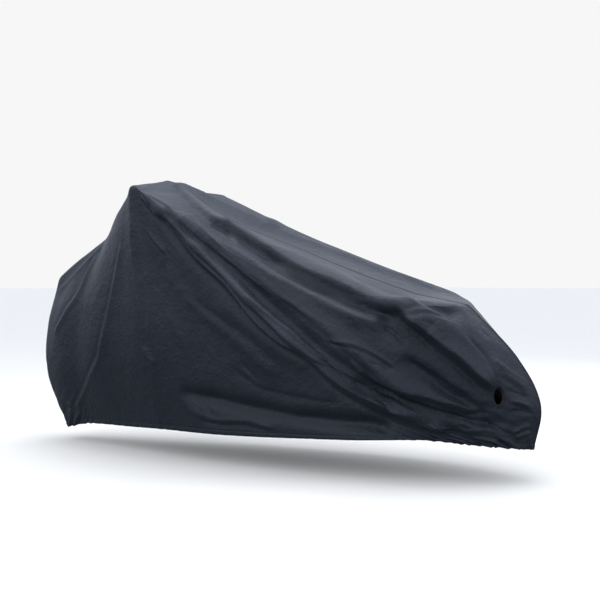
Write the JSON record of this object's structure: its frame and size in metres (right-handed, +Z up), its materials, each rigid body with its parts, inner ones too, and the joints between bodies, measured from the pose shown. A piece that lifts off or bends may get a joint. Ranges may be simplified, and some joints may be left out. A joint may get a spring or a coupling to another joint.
{
  "type": "fitted bicycle cover",
  "caption": "Fitted cloth rain cover for a long cargo bicycle, draped from the handlebar over a front box, with a gathered hem and a lock hole low on each side.",
  "frame": {"origin": "the point under the cloth, in the middle plane, where the handlebar's middle carries the cover", "axes": "+X forward, +Y to the bicycle's left, +Z up"},
  "size_m": [2.4134, 0.7388, 1.152],
  "materials": {
    "cover_cloth": "navy black coated plain weave, satin",
    "patch_cloth": "brown black plain weave, matt"
  },
  "bodies": {
    "root": {"side_panel_right": "cover_cloth", "side_panel_left": "cover_cloth", "lock_patch_right": "patch_cloth", "lock_patch_left": "patch_cloth"}
  },
  "joints": []
}
